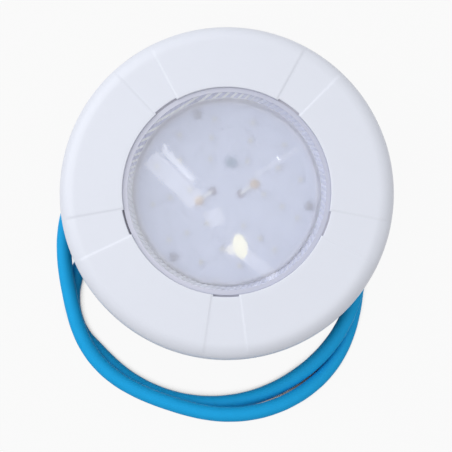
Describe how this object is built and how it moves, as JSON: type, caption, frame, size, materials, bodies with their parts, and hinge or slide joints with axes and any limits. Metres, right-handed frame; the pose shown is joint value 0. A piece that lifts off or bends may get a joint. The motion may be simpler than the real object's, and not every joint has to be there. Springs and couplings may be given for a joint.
{
  "type": "underwater pool light",
  "caption": "Flat round underwater pool light with a clip-on bezel over a clear cup lens, a rear driver pot with a side cable gland, and a looped round cable with bare cores.",
  "frame": {"origin": "on the lamp's axis, in the outer face of the pot cover, on which the light lies", "axes": "+Z along the lamp's axis towards the front, picture up in the picture is +Y, +X to the right"},
  "size_m": [0.1743, 0.2026, 0.043],
  "materials": {
    "white_abs": "glossy",
    "clear_plastic": "clear, with a fluted side wall",
    "seal_rubber": "matt",
    "screw_steel": "satin",
    "board_white": "satin solder mask",
    "led_phosphor": "matt",
    "chip_grey": "matt",
    "solder": "dull",
    "lead_white": "satin",
    "gasket_foam": "matt foam",
    "board_green": "satin solder mask",
    "sleeve_blue": "glossy sleeve",
    "copper_winding": "varnished",
    "terminal_green": "satin",
    "core_brown": "satin",
    "core_blue": "satin",
    "gland_nylon": "satin",
    "cable_blue": "satin"
  },
  "bodies": {
    "lamp": {"lens": "clear_plastic", "lens_seal": "seal_rubber", "clamp_ring": "white_abs", "clamp_screws": "screw_steel", "led_board": "board_white", "leds_inner_ring": "led_phosphor", "leds_middle_ring": "led_phosphor", "leds_outer_ring": "led_phosphor", "rectifier": "chip_grey", "solder_joints": "solder", "led_lead_positive": "lead_white", "led_lead_negative": "lead_white", "board_screws": "screw_steel", "rear_body": "white_abs", "wall_gasket": "gasket_foam", "driver_board": "board_green", "driver_screws": "screw_steel", "smoothing_capacitor": "sleeve_blue", "filter_inductor": "copper_winding", "terminal_block": "terminal_green", "terminal_screws": "screw_steel", "core_brown": "core_brown", "core_blue": "core_blue", "pot_cover": "white_abs", "cover_seal": "seal_rubber", "cover_screws": "screw_steel", "gland_bush": "seal_rubber", "cable_entry": "cable_blue", "cable_lead": "cable_blue", "cable_coil": "cable_blue", "tail_brown": "core_brown", "tail_blue": "core_blue", "tail_ferrules": "screw_steel"},
    "bezel": {"front_bezel": "white_abs"},
    "thrust_ring": {"gland_thrust_ring": "gland_nylon"},
    "nut": {"gland_nut": "gland_nylon"}
  },
  "joints": [
    {"name": "bezel_pull", "type": "slide", "parent": "lamp", "child": "bezel", "axis": [0, 0, 1], "range_m": [0, 0.03]},
    {"name": "thrust_ring_slide", "type": "slide", "parent": "lamp", "child": "thrust_ring", "axis": [-0.9511, -0.309, 0], "range_m": [0, 0.003]},
    {"name": "gland_nut_turn", "type": "hinge", "parent": "thrust_ring", "child": "nut", "pos_m": [-0.03614, -0.01174, 0.0106], "axis": [-0.9511, -0.309, 0], "range_deg": [0, 720]}
  ],
  "couplings": [
    {"joint": "thrust_ring_slide", "follows": "gland_nut_turn", "m_per_rad": 0.00023873}
  ]
}
